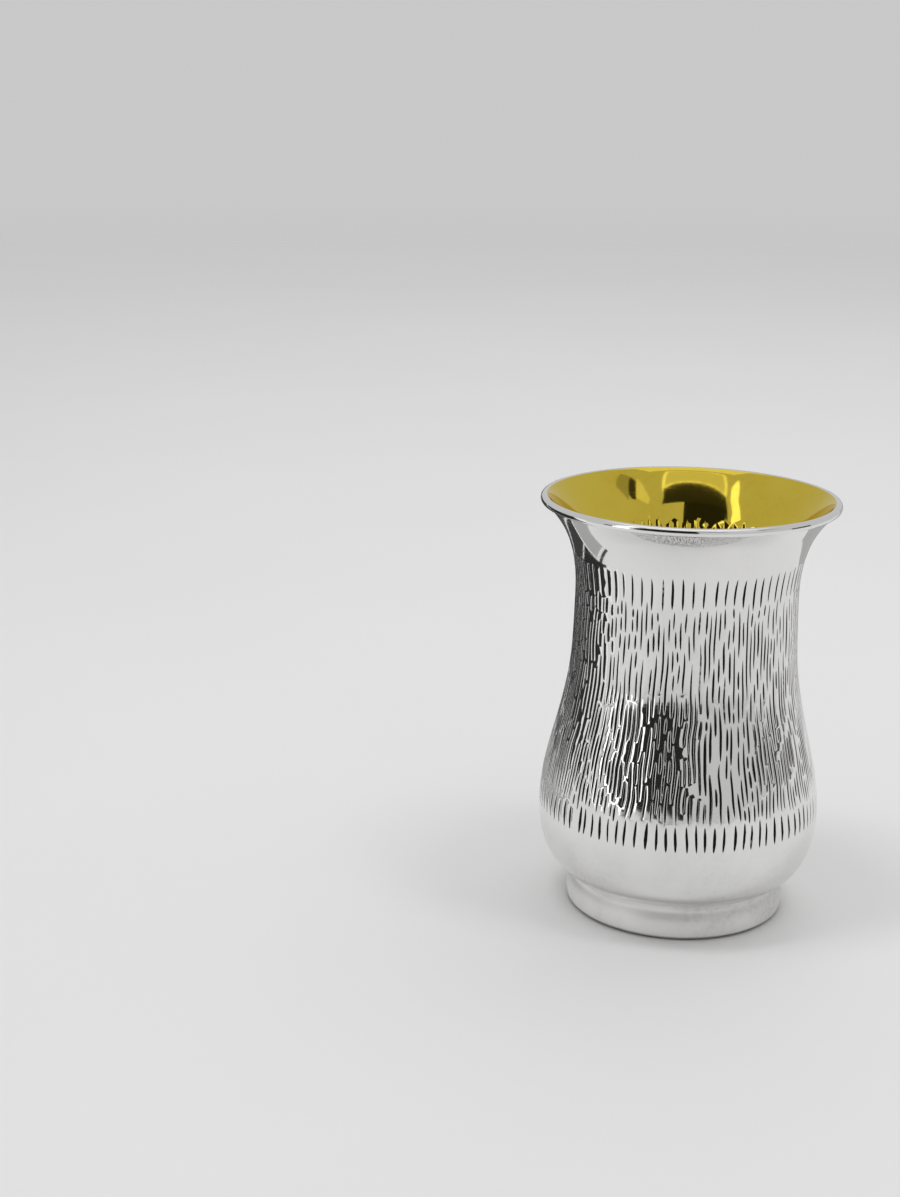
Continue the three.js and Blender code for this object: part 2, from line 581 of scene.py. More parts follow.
def punch(name, rings, keel):
    """A punch's mark: rings of points from the outside in, then the line of its deepest ones.

    A point is its PUNCH_ATTRIBUTES: its place in half widths and half lengths, then outwards in
    shoulder widths, its share of the depth, the slopes that its normal leans by, and its soot.
    """
    rows = [row for ring in rings for row in ring] + keel
    faces, count = [], len(rings[0])
    sides = [(k, (k + 1) % count) for k in range(count)]
    for outer in range(0, (len(rings) - 1) * count, count):
        inner = outer + count
        faces += [(outer + k, outer + after, inner + after, inner + k) for k, after in sides]
    last, line = (len(rings) - 1) * count, len(rings) * count
    nearest = [
        line + min(range(len(keel)), key=lambda i: round(abs(keel[i][1] - row[1]), 6))
        for row in rings[0]
    ]
    for k, after in sides:
        ends = dict.fromkeys((nearest[after], nearest[k]))  # one point where the two are alike
        faces.append((last + k, last + after, *ends))
    made = mesh_object(name, [(row[0], 0, row[1]) for row in rows], faces)
    for place, attribute in enumerate(PUNCH_ATTRIBUTES):
        set_attribute(made.data, attribute, [row[place] for row in rows])
    set_attribute(made.data, "outer", np.arange(len(rows)) < count)
    return made


def lens(sides):
    """Right round a lens from its top, with so many sides a flank: (across, along, facing)."""
    along = np.cos(np.linspace(0, FULL_TURN, 2 * sides, endpoint=False))
    across = (1 - along ** 4) * (1 - 0.1 * along)
    across[[0, sides]] = 0
    across[1:sides] *= -1
    return list(zip(across, along, along ** 5))


def cut_punch(sides, bottoms):
    """The liner's mark on the outside: a lens-shaped cut with rounded shoulders."""
    rings = [
        [
            (a, b, reach * np.sign(a), reach * CUT_END_REACH * c, sink,
             -slope * np.sign(a), -slope * CUT_END_LEAN * c, soot)
            for a, b, c in lens(sides)
        ]
        for reach, sink, slope, soot in CUT_RINGS
    ]
    keel = [(0, place, 0, 0, 1 - KEEL_RISE * place ** 2, 0, 0, 1) for place in bottoms]
    return punch("cut", rings, keel)


def ridge_punch(sides, tops):
    """The same stroke's mark on the inside: a soft ridge."""
    ring = [
        (np.sign(a), b, RIDGE_REACH * np.sign(a), 0, 0,
         np.sign(a) * RIDGE_SLOPE, c * RIDGE_SLOPE / 2, 0)
        for a, b, c in lens(sides)
    ]
    keel = [(0, place, 0, 0, -1, 0, place * RIDGE_END_SLOPE, 0) for place in tops]
    return punch("ridge", [ring], keel)


def around(across, girth):
    """Sine and cosine of the turn at a place across the sheet."""
    turn = across / girth * FULL_TURN
    return turn.math("SINE"), turn.math("COSINE")


def wander(place, scale, seed, amount):
    """A smooth sideways drift that meets itself round the cup."""
    drift = field(place.tree, "ShaderNodeTexNoise", {
        "Vector": place, "Scale": scale, "W": seed, "Detail": 0.0,
    }, noise_dimensions="4D")
    return (drift - 0.5) * amount


def chasing_tree():
    """Strikes the punch at every point, each to its own size, and lets the strokes wander."""
    tree, given, made = geometry_tree("chased_strokes", {
        "Punch": "Object", "Girth": "Float", "Flow": "Float", "Flow Size": "Float",
        "Tremor": "Float", "Tremor Size": "Float", "Depth": "Float", "Seed": "Float",
        "Material": "Material",
    })
    points = field(tree, "GeometryNodeStoreNamedAttribute", {
        "Geometry": given["Geometry"], "Name": "centre",
        "Value": field(tree, "GeometryNodeInputPosition"),
    }, data_type="FLOAT_VECTOR")
    mark = field(tree, "GeometryNodeObjectInfo", {"Object": given["Punch"]}, "Geometry")
    struck = field(tree, "GeometryNodeInstanceOnPoints", {"Points": points, "Instance": mark})
    real = field(tree, "GeometryNodeRealizeInstances", {0: struck})

    centre = parts(named(tree, "centre", "FLOAT_VECTOR"))
    shoulder = named(tree, "shoulder")
    across = named(tree, "across") * named(tree, "half_width") + named(tree, "beside") * shoulder
    beyond = named(tree, "beyond") * shoulder + centre[2]
    along = named(tree, "along") * named(tree, "half_length") + beyond
    depth = given["Depth"] * named(tree, "force")
    lift = named(tree, "sink") * depth * -1.0
    flat = across * named(tree, "stretch") + centre[0]
    sine, cosine = around(flat, given["Girth"])
    reach = given["Girth"] / FULL_TURN
    place = vector(cosine * reach, sine * reach, along)
    flow = wander(place, given["Flow Size"], given["Seed"], given["Flow"])
    tremor = wander(place, given["Tremor Size"], given["Seed"], given["Tremor"])
    drift = (flow + tremor) * named(tree, "sway")
    moved = field(tree, "GeometryNodeSetPosition", {
        "Geometry": real, "Position": vector(flat + drift, lift, along),
    })
    metal = {"Geometry": moved, "Material": given["Material"]}
    feed(tree, field(tree, "GeometryNodeSetMaterial", metal), made)
    return tree


METAL, IN_CUTS, LINING = 0, 1, 2


def turning_tree():
    """Turns a flat sheet on an outline, with its width round the axis and its length along it."""
    tree, given, made = geometry_tree("turned_on_outline", {
        "Outline": "Object", "Girth": "Float", "Metal": "Material", "In Cuts": "Material",
        "Lining": "Material",
    })
    across, lift, along = parts(field(tree, "GeometryNodeInputPosition"))
    outline = field(tree, "GeometryNodeObjectInfo", {"Object": given["Outline"]}, "Geometry")
    sample = put(tree, "GeometryNodeSampleCurve", {"Curves": outline, "Length": along},
                 mode="LENGTH", use_all_curves=True)
    at = parts(Field(tree, sample.outputs["Position"]))
    way = parts(Field(tree, sample.outputs["Tangent"]))
    radius = lift * way[2] + at[0]
    height = at[2] - lift * way[0]
    sine, cosine = around(across, given["Girth"])

    lean = parts(named(tree, "lean", "FLOAT_VECTOR"))
    outwards = way[0] * lean[2] + way[2]
    kept = field(tree, "GeometryNodeStoreNamedAttribute", {
        "Geometry": given["Geometry"], "Name": "true_normal",
        "Value": vector(
            cosine * outwards - sine * lean[0],
            sine * outwards + cosine * lean[0],
            way[2] * lean[2] - way[0],
        ),
    }, data_type="FLOAT_VECTOR")
    turned = field(tree, "GeometryNodeSetPosition", {
        "Geometry": kept, "Position": vector(radius * cosine, radius * sine, height),
    })
    turned = field(tree, "GeometryNodeRealizeInstances", {0: turned})
    finish = named(tree, "finish")
    for number, label in ((METAL, "Metal"), (IN_CUTS, "In Cuts"), (LINING, "Lining")):
        chosen = {"A": finish, "B": float(number), "Epsilon": 0.1}
        turned = field(tree, "GeometryNodeSetMaterial", {
            "Geometry": turned, "Material": given[label],
            "Selection": field(tree, "FunctionNodeCompare", chosen, operation="EQUAL"),
        })
    feed(tree, turned, made)
    return tree


# ---- The flat sheet ----

LAND_RISE = 0.03  # of bare metal between the strokes
LOOSE_SPACING = 1.5  # of the loose points on it
LOOSE_ROWS = 0.87  # between their rows, in spacings, as in even triangles
LOOSE_SPREAD = 0.16
LOOSE_CLEARANCE = 0.62
SEAM_OVERLAP = 9
SHIFTS = (-SHEET_GIRTH, 0, SHEET_GIRTH)  # to the sheet's copies on both sides of its seams


def within_seam(across):
    """Whether a place is on the sheet, or near enough to its seam to count on both sides."""
    return -SEAM_OVERLAP <= across <= SHEET_GIRTH + SEAM_OVERLAP


def steps(start, end, step):
    """Even places from just after the start up to the end."""
    count = max(1, round(abs(end - start) / step))
    return [start + (end - start) * (k + 1) / count for k in range(count)]


class Sheet:
    """A flat sheet of faces: (across, lift, along) points that close up when they're turned."""

    def __init__(self):
        self.points, self.lean, self.soot, self.tone = [], [], [], []
        self.faces, self.finish = [], []

    def add_points(self, points, lean=(0, 0, 0), soot=0, tone=0):
        """Adds points and returns their numbers."""
        points = np.asarray(points, float).reshape(-1, 3)
        start = len(self.points)
        self.points += points.tolist()
        self.lean += np.broadcast_to(lean, points.shape).tolist()
        self.soot += np.broadcast_to(soot, len(points)).tolist()
        self.tone += np.broadcast_to(tone, len(points)).tolist()
        return np.arange(start, len(self.points))

    def add_faces(self, faces, finish):
        self.faces += [tuple(int(corner) for corner in face) for face in faces]
        self.finish += [finish] * len(faces)

    def row(self, along):
        """A row of points right round the sheet."""
        across = np.arange(COLUMNS_ROUND) / COLUMNS_ROUND * SHEET_GIRTH
        return self.add_points([(place, 0, along) for place in across])

    def join(self, low, high, finish):
        """Faces between two rows, or between a row and the single point of a pole."""
        if len(low) == 1:
            faces = [(low[0], high[k], high[k - 1]) for k in range(len(high))]
        elif len(high) == 1:
            faces = [(low[k - 1], low[k], high[0]) for k in range(len(low))]
        else:
            faces = [(low[k - 1], low[k], high[k], high[k - 1]) for k in range(len(low))]
        self.add_faces(faces, finish)

    def rows(self, start, places, finish):
        """Joins plain rows on to a row, one after another, and returns the last."""
        for along in places:
            following = self.row(along)
            self.join(start, following, finish)
            start = following
        return start

    def strike(self, marks, finish):
        """Adds struck marks. Returns each one's outer ring, as point numbers."""
        places = read_attribute(marks, "position", 3) / MM
        number, sink, outer, lean_x, lean_z, soot, tone = (
            read_attribute(marks, name)
            for name in ("number", "sink", "outer", "lean_x", "lean_z", "soot", "tone")
        )
        lean = np.stack([lean_x, 0 * lean_x, lean_z], 1)
        start = self.add_points(places, lean, soot, tone)[0]
        deep = sink > BLACKENED
        for face in marks.polygons:
            inside = all(deep[corner] for corner in face.vertices)
            self.add_faces([np.array(face.vertices) + start], IN_CUTS if inside else finish)
        return [start + np.flatnonzero((outer > 0.5) & (number == one))
                for one in np.unique(number)]

    def stitch(self, low, high, rings, finish):
        """Fills the sheet between two rows and round the rings with triangles.

        The triangles are made on a sheet that is wider on both sides by a copy of the other
        side's edge, and those with their middles on the sheet itself are kept.
        """
        loose = self.scatter(self.points[low[0]][2], self.points[high[0]][2])
        points = np.array(self.points)
        flat, numbers, edges, holes = [], [], [], []

        def add(ids, shift):
            start = len(flat)
            flat.extend(Vector((x + shift, z)) for x, _, z in points[ids])
            numbers.extend(int(i) for i in ids)
            return range(start, len(flat))

        def seen(ids, shift):
            return [i for i in ids if within_seam(points[i, 0] + shift)]

        for shift in SHIFTS:
            for ring in rings:
                if within_seam(points[ring, 0].mean() + shift):
                    holes.append(list(add(ring, shift)))
            add(seen(loose, shift), shift)
        for line in (low, high):
            ids = [i for shift in SHIFTS for i in add(seen(line, shift), shift)]
            edges += list(zip(ids, ids[1:]))
        corners, _, faces, origins, _, hole_of = delaunay_2d_cdt(
            flat, edges, holes, 0, 1e-5, True)
        if len(corners) != len(flat):
            raise RuntimeError(f"{len(corners) - len(flat)} strokes cross in the sheet")
        kept = []
        for face, hole in zip(faces, hole_of):
            middle = sum(corners[i].x for i in face) / 3
            if not hole and 0 <= middle < SHEET_GIRTH:
                kept.append([numbers[origins[i][0]] for i in face])
        self.add_faces(kept, finish)

    def scatter(self, low, high):
        """Loose points on the bare metal, none of them near a mark."""
        columns = round(SHEET_GIRTH / LOOSE_SPACING)
        pitch = LOOSE_SPACING * LOOSE_ROWS
        grid = np.array([
            ((i + j % 2 / 2) / columns * SHEET_GIRTH, low + (j + 0.5) * pitch)
            for j in range(int((high - low) / pitch)) for i in range(columns)
        ])
        grid += rng.uniform(-LOOSE_SPREAD, LOOSE_SPREAD, (len(grid), 2)) * LOOSE_SPACING
        taken = KDTree(len(self.points) * len(SHIFTS))
        for x, _, z in self.points:
            for shift in SHIFTS:
                if within_seam(x + shift):
                    taken.insert((x + shift, z, 0), 0)
        taken.balance()
        return self.add_points([
            (x, LAND_RISE, z) for x, z in grid if taken.find((x, z, 0))[2] > LOOSE_CLEARANCE
        ])

    def turned(self, name, outline, metal):
        """The mesh of the sheet turned on an outline, without the points that no face uses."""
        used = np.unique(np.concatenate([np.array(face) for face in self.faces]))
        place = np.full(len(self.points), -1)
        place[used] = np.arange(len(used))
        points = np.array(self.points)[used] * MM
        flat = mesh_object("sheet", points, [tuple(place[list(face)]) for face in self.faces])
        set_attribute(flat.data, "lean", np.array(self.lean)[used], "FLOAT_VECTOR")
        set_attribute(flat.data, "soot", np.array(self.soot)[used])
        set_attribute(flat.data, "tone", np.array(self.tone)[used])
        set_attribute(flat.data, "finish", self.finish, domain="FACE")
        curve = outline.curve("outline")
        mesh = apply_tree(flat, turning, {
            "Girth": SHEET_GIRTH * MM, "Outline": curve, "Metal": metal, "In Cuts": oxide,
            "Lining": gold,
        }, name)
        bpy.data.objects.remove(curve)
        return mesh


def stroke_points(strokes, along, chosen):
    """A mesh of bare points, one a stroke, with the sizes that the chasing tree reads."""
    across = strokes.turn / FULL_TURN * SHEET_GIRTH % SHEET_GIRTH
    made = mesh_object("strokes", np.stack([across, 0 * across, along], 1)[chosen] * MM)
    sizes = {
        "half_width": strokes.width / 2 * MM,
        "half_length": strokes.half_length * MM,
        "shoulder": strokes.room * MM,
        "stretch": SHEET_GIRTH / (FULL_TURN * strokes.outline.radius(strokes.along)),
        "force": strokes.force,
        "sway": strokes.blend(NECK_SWAY, 1, strokes.along),
        "tone": strokes.tone,
        "number": np.arange(len(across)),
    }
    for name, values in sizes.items():
        set_attribute(made.data, name, values[chosen])
    return made


# ---- Finishes ----

SILVER = (0.85, 0.847, 0.84)
DULL_SILVER = (0.68, 0.675, 0.66)
GOLD = (0.76, 0.59, 0.075)
DEEP_GOLD = (0.64, 0.44, 0.035)
FOOT_SILVER = (0.93, 0.925, 0.915)
# painted shade: the dark colour the foot's bottom edge is painted, for the shade where it stands
# on the table
PAINTED_CONTACT_SHADE = (0.1, 0.095, 0.09)
OXIDE = (0.009, 0.009, 0.01)

SOFT_HIGH, SOFT_LOW = 27, 15  # between these heights the polish goes from bright to softer
# between these heights, in millimetres, the foot darkens downwards to its painted shade
CONTACT_SHADE_HIGH, CONTACT_SHADE_LOW = 1.1, 0.2
UNEVEN_DEPTH = 0.05


def object_place(tree):
    return field(tree, "ShaderNodeTexCoord", output="Object")


def colour_mix(amount, first, second):
    """A colour between two others."""
    first, second = (value if isinstance(value, Field) else (*value, 1)
                     for value in (first, second))
    return field(amount.tree, "ShaderNodeMix", {0: amount, 6: first, 7: second}, 2,
                 data_type="RGBA")


def between(value, low, high, to_low=0.0, to_high=1.0):
    """The value's place between two limits, smoothly, as a number between two others."""
    return field(value.tree, "ShaderNodeMapRange", {
        "Value": value, "From Min": low, "From Max": high, "To Min": to_low, "To Max": to_high,
    }, interpolation_type="SMOOTHSTEP")


def noise(place, scale, detail=2.0, stretch=(1, 1, 1), turn=(0, 0, 0)):
    """A noise texture's value, on a place that is stretched and turned first."""
    mapped = field(place.tree, "ShaderNodeMapping", {
        "Vector": place, "Scale": stretch, "Rotation": turn,
    })
    return field(place.tree, "ShaderNodeTexNoise", {
        "Vector": mapped, "Scale": scale, "Detail": detail,
    })


def shader_group(name, inputs, output, made_of):
    """A shader node group that puts out one number, made of its place and its number inputs."""
    tree = bpy.data.node_groups.new(name, "ShaderNodeTree")
    for label, default in inputs.items():
        socket = tree.interface.new_socket(label, in_out="INPUT", socket_type="NodeSocketFloat")
        socket.default_value = default
    tree.interface.new_socket(output, in_out="OUTPUT", socket_type="NodeSocketFloat")
    put(tree, "NodeGroupOutput", {output: made_of(object_place(tree), group_inputs(tree))})
    return tree


def hairline_marks(place, given):
    """Fine polishing lines, most of them round the cup, and a few stray scratches."""
    round_cup = between(noise(place, 300, 3, (0.12, 0.12, 9)), 0.56, 0.72)
    stray = between(noise(place, 420, 2, (0.1, 3, 3), (0.7, 0.5, 0.9)), 0.64, 0.72)
    crossing = between(noise(place, 380, 2, (3, 0.1, 3), (0.4, -0.6, 0.5)), 0.65, 0.73)
    strays = stray.math("MAXIMUM", crossing) * between(noise(place, 70, 1), 0.4, 0.65)
    return (round_cup * 0.6).math("MAXIMUM", strays) * given["Amount"]


def bloom_clouds(place, given):
    """Faint cloudy handling marks, in drifts with finer specks in them."""
    drift = between(noise(place, 55, 4), 0.4, 0.66)
    speck = between(noise(place, 900, 2), 0.45, 0.7, 0.6, 1.0)
    return drift * speck * given["Amount"]


def uneven_height(place, given):
    """Height of metal that hammer and liner have moved, strongest inside the chased band."""
    level = parts(place)[2]
    above = between(level, (BAND_BOTTOM - 1) * MM, (BAND_BOTTOM + 1) * MM)
    below = between(level, (BAND_TOP + 1) * MM, (BAND_TOP - 1) * MM)
    worked = noise(place, 330, 1, (1, 1, 0.6)) * (above * below) * given["Chased"]
    return worked + noise(place, 90, 1) * given["Plain"]


hairlines = shader_group("hairlines", {"Amount": 1.0}, "Marks", hairline_marks)
bloom = shader_group("bloom", {"Amount": 1.0}, "Bloom", bloom_clouds)
unevenness = shader_group("unevenness", {"Plain": 0.2, "Chased": 1.0}, "Height", uneven_height)


class Finish:
    """A material with one Principled shader, and the shared groups ready to be used in it."""

    def __init__(self, name, **settings):
        self.material = bpy.data.materials.new(name)
        self.material.use_nodes = True
        self.tree = self.material.node_tree
        self.shader = self.tree.nodes["Principled BSDF"]
        for label, value in settings.items():
            self.set(label.replace("_", " "), value)

    def set(self, label, value):
        feed(self.tree, value, self.shader.inputs[label])

    def level(self):
        """Height above the table."""
        return parts(object_place(self.tree))[2]

    def use(self, group, **values):
        node = put(self.tree, "ShaderNodeGroup", node_tree=group)
        for label, value in values.items():
            node.inputs[label].default_value = value
        return Field(self.tree, node.outputs[0])

    def attribute(self, name):
        return field(self.tree, "ShaderNodeAttribute", output="Fac", attribute_name=name)

    def bumps(self, *heights):
        """Sets the normal from (height, depth in millimetres) pairs."""
        below = {}
        for height, depth in heights:
            inputs = {"Height": height, "Distance": depth * MM, **below}
            below = {"Normal": field(self.tree, "ShaderNodeBump", inputs)}
        self.set("Normal", below["Normal"])


class Polish(Finish):
    """Polished metal with fine lines, cloudy handling marks and an uneven surface."""

    def __init__(self, name, lines, cloudy, plain, chased, scratch):
        super().__init__(name, Metallic=1.0)
        self.marks = self.use(hairlines, Amount=lines)
        self.clouds = self.use(bloom, Amount=cloudy)
        uneven = self.use(unevenness, Plain=plain, Chased=chased)
        self.bumps((uneven, UNEVEN_DEPTH), (self.marks, scratch))


def chased_silver():
    """Bright polished silver, softer low on the belly, and sooty at the edges of the cuts."""
    made = Polish("chased_silver_polish", 1.0, 1.0, 0.25, 1.0, 0.0015)
    soft = between(made.level(), SOFT_HIGH * MM, SOFT_LOW * MM)
    clouds = made.clouds * (soft * 0.6 + 0.4)
    dull = clouds * 0.6 + made.attribute("soot")
    made.set("Base Color", colour_mix(dull, SILVER, DULL_SILVER))
    made.set("Roughness", made.marks * 0.06 + clouds * 0.1 + (soft * 0.1 + 0.06))
    return made.material


def cut_oxide():
    """Blackened silver in the bottoms of the cuts, worn bright in places and at the edges."""
    made = Finish("cut_oxide", Metallic=0.5, Specular_IOR_Level=0.2)
    place = object_place(made.tree)
    grain = noise(place, 3200, 3)
    patch = between(noise(place, 700, 2), 0.52, 0.68)
    edge = between(made.attribute("soot"), 0.7, 0.2, 0, 0.75)
    bright = edge.math("MAXIMUM", patch * made.attribute("tone"))
    bright = bright * between(grain, 0.3, 0.6, 0.4, 1)
    made.set("Base Color", colour_mix(bright, OXIDE, DULL_SILVER))
    made.set("Roughness", between(bright, 0, 1, 0.6, 0.2))
    made.bumps((grain, 0.02))
    return made.material


def gilding():
    """Mirror-bright gilding, with clouds of a deeper gold."""
    made = Polish("gilding", 0.7, 0.8, 0.3, 1.4, 0.0012)
    made.set("Base Color", colour_mix(made.clouds * 0.5, GOLD, DEEP_GOLD))
    made.set("Roughness", made.marks * 0.05 + made.clouds * 0.05 + 0.045)
    return made.material


def satin_silver():
    """The foot's softer silver, with turned lines, handling marks and painted shade at its bottom
    edge.
    """
    made = Polish("satin_silver", 1.6, 1.2, 0.35, 0.0, 0.003)
    silver = colour_mix(made.clouds * 0.5, FOOT_SILVER, DULL_SILVER)
    # painted shade: the foot darkens towards the table, for the shade where it stands on it
    edge = between(made.level(), CONTACT_SHADE_HIGH * MM, CONTACT_SHADE_LOW * MM, 0, 0.85)
    made.set("Base Color", colour_mix(edge, silver, PAINTED_CONTACT_SHADE))
    made.set("Roughness", made.marks * 0.08 + made.clouds * 0.12 + 0.6)
    return made.material


silver, oxide, gold, satin = chased_silver(), cut_oxide(), gilding(), satin_silver()


# ---- Bowl ----

wall = smooth_curve(WALL_CONTROLS, 1600)
lining = moved_out(wall, -BOWL_WALL)
lining[0, 0] = 0
lining = lining[:np.flatnonzero(lining[:, 1] > WIRE_CENTRE[1] - HEM_DROP)[0]]
crease = math.degrees(math.atan2(*(wall[-1] - WIRE_CENTRE)[::-1]))
wire = arc(WIRE_CENTRE, WIRE_RADIUS, crease, HEM_ANGLE, 160)
hem_handles = [run_on(wire, HEM_HANDLE), run_on(lining, HEM_HANDLE)]
hem = smooth_curve([wire[-1], *hem_handles, lining[-1]], 40)
bowl = Outline(wall, wire[1:], hem[1:-1], lining[::-1])

wall_lengths = bowl.lengths[:len(wall)]
lining_lengths = bowl.lengths[-len(lining):][::-1]
crease_at = wall_lengths[-1]


def wall_place(height):
    """The length along the outline of a height on the bowl's outside."""
    belly_up = wall[:, 1] > BOTTOM_HEIGHT + 0.1
    return np.interp(height, wall[belly_up, 1], wall_lengths[belly_up])


def lining_place(along):
    """The place on the lining behind a place on the outside, and a little above it."""
    return np.interp(along, wall_lengths[:len(lining)], lining_lengths) - RIDGE_SHIFT


def wire_place(angle):
    """The length along the outline of an angle round the rim wire."""
    return crease_at + math.radians(angle - crease) * WIRE_RADIUS


band_start, band_end = wall_place(BAND_BOTTOM), wall_place(BAND_TOP)
strokes = Strokes(bowl, band_start, band_end)

chasing, turning = chasing_tree(), turning_tree()
wanderings = {
    "Girth": SHEET_GIRTH * MM, "Flow": 1.3 * MM, "Flow Size": 130.0,
    "Tremor": 0.26 * MM, "Tremor Size": 300.0, "Material": silver,
}
cut_tools = (cut_punch(5, (0.62, 0, -0.62)), cut_punch(10, (0.7, 0.35, 0, -0.35, -0.7)))
ridge_tools = (ridge_punch(3, (0.5, -0.5)), ridge_punch(6, (0.7, 0, -0.7)))


def strike_all(sheet, along, tools, depth, seed, finish):
    """Strikes every stroke into the sheet, the long ones with the second tool."""
    rings = []
    long = 2 * strokes.half_length > LONG
    for chosen, tool in zip((~long, long), tools):
        marks = apply_tree(stroke_points(strokes, along, chosen), chasing, {
            **wanderings, "Punch": tool, "Depth": depth * MM, "Seed": seed,
        }, "marks")
        rings += sheet.strike(marks, finish)
        bpy.data.objects.remove(tool)
    return rings


sheet = Sheet()
under_foot = wall_lengths[np.flatnonzero(wall[:, 0] > UNDER_FOOT_RADIUS)[0]]
band_low, band_high = band_start - BAND_MARGIN, band_end + BAND_MARGIN
base = steps(0, under_foot, BASE_STEP) + steps(under_foot, band_low, WALL_STEP)
low = sheet.rows(sheet.add_points([(0, 0, 0)]), base, METAL)
high = sheet.row(band_high)
cuts = strike_all(sheet, strokes.along, cut_tools, CUT_DEPTH, 3.0, METAL)
sheet.stitch(low, high, cuts, METAL)

near_crease, gilded_at = crease_at - CREASE_REACH, wire_place(GILDING_ANGLE)
flare = steps(band_high, near_crease, WALL_STEP) + steps(near_crease, crease_at, CREASE_STEP)
on_wire = sheet.rows(high, flare + steps(crease_at, gilded_at, CREASE_STEP), METAL)

wire_end = wire_place(HEM_ANGLE)
lining_low = lining_place(band_end) - BAND_MARGIN
lining_high = lining_place(band_start) + BAND_MARGIN
mouth = steps(gilded_at, wire_end, CREASE_STEP) + steps(wire_end, lining_low, WALL_STEP)
low = sheet.rows(on_wire, mouth, LINING)
high = sheet.row(lining_high)
backs = strike_all(sheet, lining_place(strokes.along), ridge_tools, RIDGE_HEIGHT, 5.0, LINING)
sheet.stitch(low, high, backs, LINING)
last = sheet.rows(high, steps(lining_high, bowl.length - POLE_RADIUS, LINING_STEP), LINING)
sheet.join(last, sheet.add_points([(0, 0, bowl.length)]), LINING)
bowl_mesh = sheet.turned("chased_bowl", bowl, silver)


# ---- Foot ring ----

SOLDER_REACH = 0.75  # how far out from the foot's neck the solder's fillet runs
FOOT_WALL = 0.9
SUNK = 0.25  # how deep the foot's top edge sits in the solder, out of sight


def under_bowl(radius, sunk=0.0):
    """A point on the bowl's underside at a radius, or that far up inside its wall."""
    at = np.flatnonzero(wall[:, 0] > radius)[0]
    return moved_out(wall, -sunk)[at]


# The foot's outside runs from the flat that it stands on up to the solder's edge, and its inside
# from under the bowl back down to that flat.
foot_neck = FOOT_RADIUS - 1.2
meeting = under_bowl(foot_neck + SOLDER_REACH)
foot_outside = smooth_curve([
    (FOOT_RADIUS - 1.6, 0), (FOOT_RADIUS - 0.95, 0), (FOOT_RADIUS - 0.15, 0.3),
    (FOOT_RADIUS + 0.05, 2.4), (FOOT_RADIUS - 0.3, 4.7), (foot_neck, 5.6), (foot_neck + 0.02, 6.5),
    meeting - (0.25, 0.12), meeting,
], 240)
foot_buried = np.array([
    under_bowl(foot_neck + SOLDER_REACH - 0.1, SUNK), under_bowl(foot_neck, SUNK),
    under_bowl(foot_neck - FOOT_WALL, SUNK),
])
foot_inside = smooth_curve([
    under_bowl(foot_neck - FOOT_WALL - 0.5), (foot_neck - FOOT_WALL, 6),
    (foot_neck - FOOT_WALL + 0.1, 5), (FOOT_RADIUS - FOOT_WALL, 3.4), (FOOT_RADIUS - FOOT_WALL, 1),
    (FOOT_RADIUS - FOOT_WALL - 0.7, FOOT_WALL), (FOOT_RADIUS - 2.6, FOOT_WALL),
    (FOOT_RADIUS - 2.8, 0.1), (FOOT_RADIUS - 2.4, 0), (FOOT_RADIUS - 1.6, 0),
], 200)
foot = Outline(foot_outside, foot_buried, foot_inside)

sheet = Sheet()
first = sheet.row(0)
last = sheet.rows(first, steps(0, foot.length, FOOT_STEP)[:-1], METAL)
sheet.join(last, first, METAL)
foot_mesh = sheet.turned("soldered_foot", foot, satin)


# ---- The finished pieces ----

def finished(mesh, node):
    """Shows a mesh as the finished form of a CAD node, shaded by its own true normals."""
    mesh.shade_smooth()
    normals = read_attribute(mesh, "true_normal", 3)
    normals /= np.linalg.norm(normals, axis=1)[:, None]
    mesh.normals_split_custom_set_from_vertices(normals.tolist())
    made = linked(mesh.name, mesh)
    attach(made, "root")
    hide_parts(node)


finished(bowl_mesh, "cup_bowl")
finished(foot_mesh, "foot_ring")


# ---- Table ----

FLOOR_RADIUS = 3000
FLOOR_TONES = ((0.83, 0.83, 0.83), (0.87, 0.87, 0.87))
FADE_START, FADE_END = 250, 0.8 * FLOOR_RADIUS  # where the floor melts into the background


def pale_floor():
    """A pale round table top that melts into the background far off."""
    made = Finish("pale_table", Roughness=0.75)
    tree, place = made.tree, object_place(made.tree)
    made.set("Base Color", colour_mix(noise(place, 6, 3), *FLOOR_TONES))
    made.bumps((noise(place, 900, 2), 0.02))
    far = field(tree, "ShaderNodeVectorMath", {0: place}, "Value", operation="LENGTH")
    behind = field(tree, "ShaderNodeNewGeometry", output="Backfacing")
    gone = between(far, FADE_START * MM, FADE_END * MM).math("MAXIMUM", behind)
    shown, clear = Field(tree, made.shader.outputs[0]), field(tree, "ShaderNodeBsdfTransparent")
    surface = field(tree, "ShaderNodeMixShader", {0: gone, 1: shown, 2: clear})
    feed(tree, surface, tree.nodes["Material Output"].inputs["Surface"])
    ring = arc((0, 0), FLOOR_RADIUS, 0, 354, 60)
    floor = mesh_object("table", [(x * MM, y * MM, 0) for x, y in ring], [range(60)])
    floor.data.materials.append(made.material)
    floor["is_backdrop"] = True


pale_floor()


# ---- Light: lamps, and cards and screens that show only as reflections in the silver ----

ROOM_TONE = 0.58
SCREEN_RADIUS, SCREEN_STRIP = 90, 4  # of the curved screens, and their strips' width in degrees
TOP = 92  # of the tall screens

# (name, watts, width, depth, place, target)
LAMPS = (
    ("left_panel", 1.0, 120, 250, (-200, -120, 800), (0, 0, 0)),
    ("right_panel", 0.7, 120, 250, (250, -120, 800), (0, 0, 0)),
    ("back_panel", 2.2, 1200, 700, (100, 700, 900), (50, 650, 0)),
)

